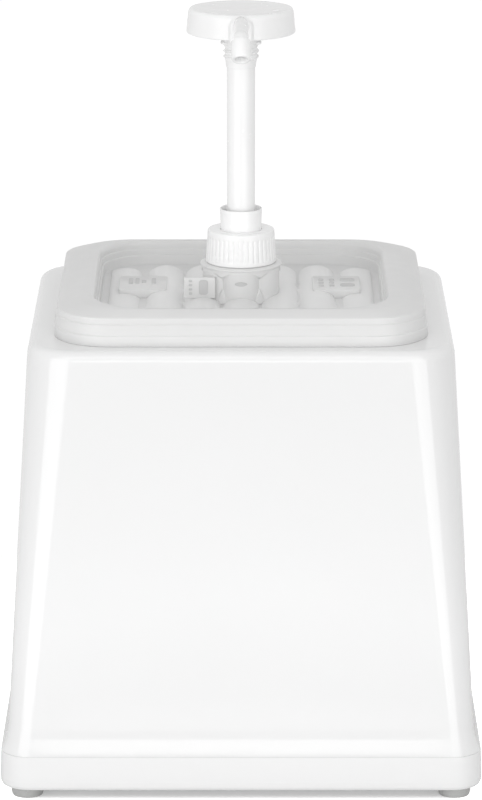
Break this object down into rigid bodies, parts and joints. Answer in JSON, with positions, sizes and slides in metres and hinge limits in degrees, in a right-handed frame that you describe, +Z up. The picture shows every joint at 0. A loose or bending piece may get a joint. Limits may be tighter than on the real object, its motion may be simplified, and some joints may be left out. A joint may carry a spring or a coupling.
{
  "type": "condiment pump dispenser",
  "caption": "Tapered counter housing with a lidded rectangular food container and a hand pump with a round knob and forward spout.",
  "frame": {"origin": "on the counter below the middle of the housing", "axes": "+Z up along the pump, -Y towards the spout at the front, +X to the right seen from the front"},
  "size_m": [0.2414, 0.2274, 0.382],
  "materials": {
    "housing_plastic": "glossy moulded",
    "screw_steel": "bright zinc",
    "container_plastic": "translucent satin",
    "lid_plastic": "translucent satin",
    "seal_rubber": "matt silicone",
    "natural_plastic": "satin natural",
    "pump_plastic": "glossy moulded",
    "spring_steel": "drawn wire",
    "valve_steel": "polished",
    "piston_plastic": "satin",
    "foot_rubber": "matt"
  },
  "bodies": {
    "housing": {"housing_shell": "housing_plastic", "base_tray": "housing_plastic", "base_screws": "screw_steel", "foot_washers": "screw_steel", "foot_front_left": "foot_rubber", "foot_front_right": "foot_rubber", "foot_rear_left": "foot_rubber", "foot_rear_right": "foot_rubber"},
    "container": {"food_container": "container_plastic"},
    "lid": {"container_lid": "lid_plastic", "lid_gasket": "seal_rubber"},
    "pump_body": {"pump_cylinder": "natural_plastic", "pump_collar": "pump_plastic", "neck_washer": "seal_rubber", "inlet_valve_cage": "natural_plastic", "dip_tube": "natural_plastic", "return_spring": "spring_steel"},
    "nut": {"closure_nut": "pump_plastic"},
    "inlet_ball": {"inlet_ball": "valve_steel"},
    "plunger": {"piston": "piston_plastic", "piston_ring": "seal_rubber"},
    "head": {"pump_stem": "pump_plastic", "outlet_valve_seat": "natural_plastic", "lock_neck": "pump_plastic", "spout": "pump_plastic", "pump_knob": "pump_plastic"},
    "outlet_ball": {"outlet_ball": "valve_steel"}
  },
  "joints": [
    {"name": "container_lift", "type": "slide", "parent": "housing", "child": "container", "axis": [0, 0, 1], "range_m": [0, 0.21]},
    {"name": "lid_lift", "type": "slide", "parent": "container", "child": "lid", "axis": [0, 0, 1], "range_m": [0, 0.21]},
    {"name": "pump_lift", "type": "slide", "parent": "lid", "child": "pump_body", "axis": [0, 0, 1], "range_m": [0, 0.23]},
    {"name": "nut_turn", "type": "hinge", "parent": "pump_body", "child": "nut", "pos_m": [0, 0, 0.26], "axis": [0, 0, 1], "continuous": true},
    {"name": "inlet_ball_lift", "type": "slide", "parent": "pump_body", "child": "inlet_ball", "axis": [0, 0, 1], "range_m": [0, 0.0026]},
    {"name": "pump_stroke", "type": "slide", "parent": "pump_body", "child": "plunger", "axis": [0, 0, -1], "range_m": [0, 0.084], "stiffness_N_per_m": 220, "springref_m": -0.035, "deforming": ["return_spring"]},
    {"name": "head_turn", "type": "hinge", "parent": "plunger", "child": "head", "pos_m": [0, 0, 0.37], "axis": [0, 0, 1], "continuous": true},
    {"name": "outlet_ball_lift", "type": "slide", "parent": "head", "child": "outlet_ball", "axis": [0, 0, 1], "range_m": [0, 0.004]}
  ]
}
